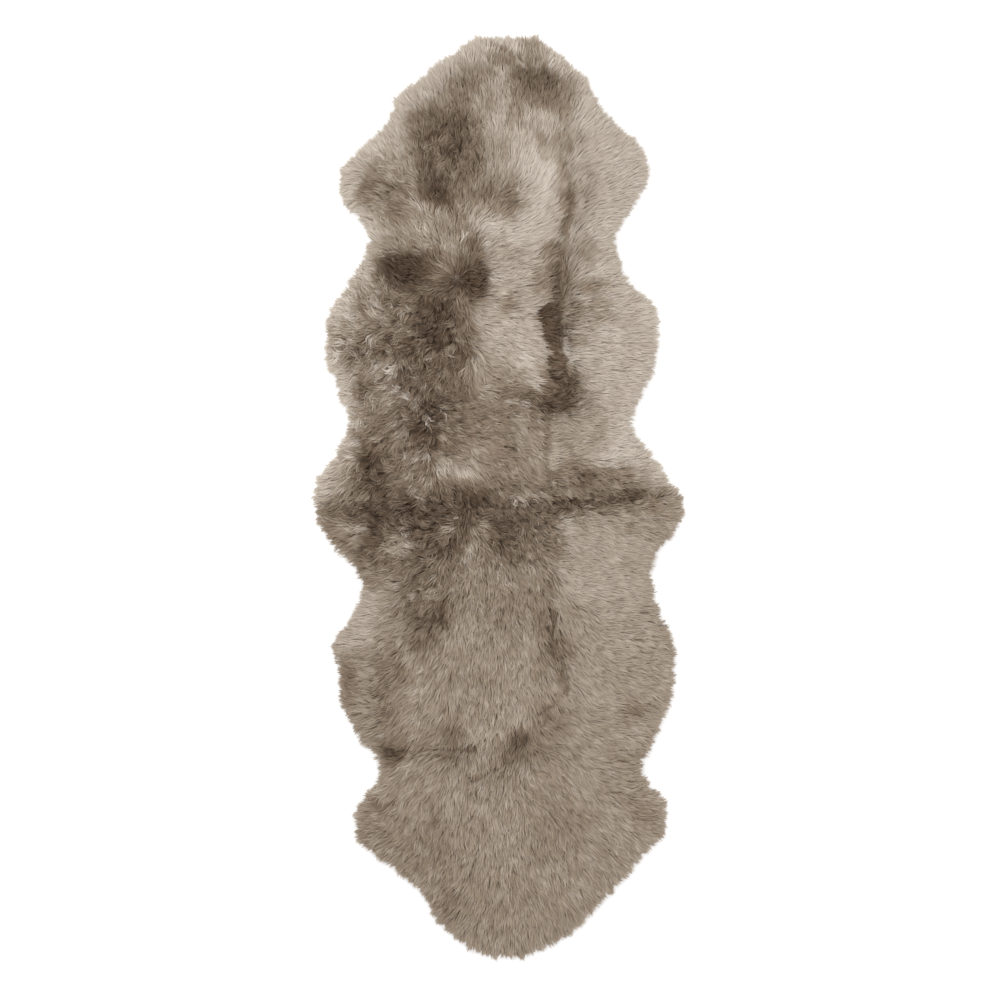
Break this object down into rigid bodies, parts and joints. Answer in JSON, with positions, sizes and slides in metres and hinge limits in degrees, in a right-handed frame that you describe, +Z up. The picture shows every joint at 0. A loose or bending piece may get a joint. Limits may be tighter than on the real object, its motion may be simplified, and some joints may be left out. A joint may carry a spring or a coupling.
{
  "type": "sheepskin rug",
  "caption": "Long-wool sheepskin rug of whole pelts sewn end to end, lying flat, with a lobed outline, a low rounded rim and a soft fleece that parts over the seam.",
  "frame": {"origin": "on the floor, under the middle of the rug's footprint", "axes": "+Y along the rug towards the head end, +X towards the right-hand side seen from above with the head end up, +Z up through the wool"},
  "size_m": [0.7209, 1.8, 0.0529],
  "materials": {
    "wool": "long greige wool in fine wavy locks, darker at the roots, with a soft sheen where it lies flat",
    "hide": "pale matt suede, the flesh side of the tanned skin"
  },
  "bodies": {
    "root": {"pelt_head": "wool", "pelt_tail": "wool"}
  },
  "joints": []
}
